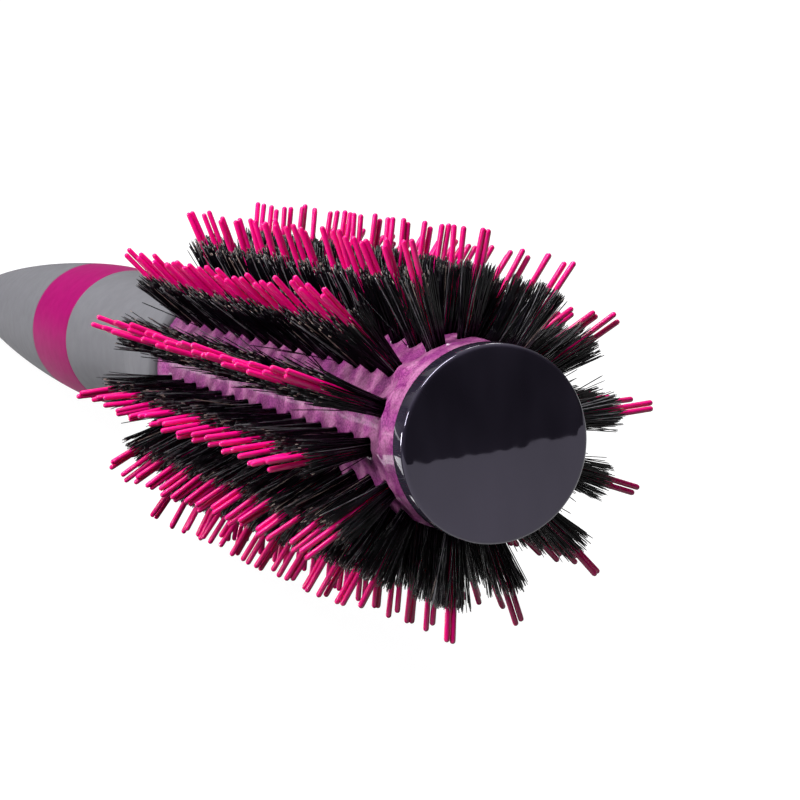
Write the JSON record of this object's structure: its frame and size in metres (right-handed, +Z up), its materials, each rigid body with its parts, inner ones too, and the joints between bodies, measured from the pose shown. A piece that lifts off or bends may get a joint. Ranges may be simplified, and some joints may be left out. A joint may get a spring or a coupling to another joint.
{
  "type": "round hair brush",
  "caption": "Round barrel hair brush: fluted barrel with staggered rows of boar bristle and nylon pin tufts, flat end cap and a tapered sleeved handle.",
  "frame": {"origin": "centre of the end cap's flat face, on the brush axis", "axes": "+Y along the brush axis from the cap face towards the handle, +Z up"},
  "size_m": [0.053, 0.258, 0.052],
  "materials": {
    "barrel_lacquer": "glossy pink-purple lacquer with a fine pearl grain",
    "black_gloss": "mirror-smooth black",
    "grey_grip": "satin soft-touch grey",
    "magenta_ring": "satin magenta",
    "black_seal": "matte black",
    "boar_bristle": "black natural bristle with a fine sheen",
    "nylon_pin": "bright magenta nylon",
    "core_plastic": "moulded dark grey",
    "steel": "bright zinc plated",
    "brass": "machined brass"
  },
  "bodies": {
    "root": {"barrel": "barrel_lacquer", "end_cap": "black_gloss", "tie_screw": "steel", "screw_washer": "steel", "threaded_insert": "brass", "handle_core": "core_plastic", "seal_ring": "black_seal", "front_sleeve": "grey_grip", "accent_ring": "magenta_ring", "rear_grip": "grey_grip", "anchor_staples": "steel", "boar_row_01": "boar_bristle", "boar_row_02": "boar_bristle", "boar_row_03": "boar_bristle", "boar_row_04": "boar_bristle", "boar_row_05": "boar_bristle", "boar_row_06": "boar_bristle", "boar_row_07": "boar_bristle", "boar_row_08": "boar_bristle", "boar_row_09": "boar_bristle", "boar_row_10": "boar_bristle", "boar_row_11": "boar_bristle", "boar_row_12": "boar_bristle", "boar_row_13": "boar_bristle", "boar_row_14": "boar_bristle", "pin_row_01": "nylon_pin", "pin_row_02": "nylon_pin", "pin_row_03": "nylon_pin", "pin_row_04": "nylon_pin", "pin_row_05": "nylon_pin", "pin_row_06": "nylon_pin", "pin_row_07": "nylon_pin", "pin_row_08": "nylon_pin", "pin_row_09": "nylon_pin", "pin_row_10": "nylon_pin", "pin_row_11": "nylon_pin", "pin_row_12": "nylon_pin", "pin_row_13": "nylon_pin", "pin_row_14": "nylon_pin"}
  },
  "joints": []
}
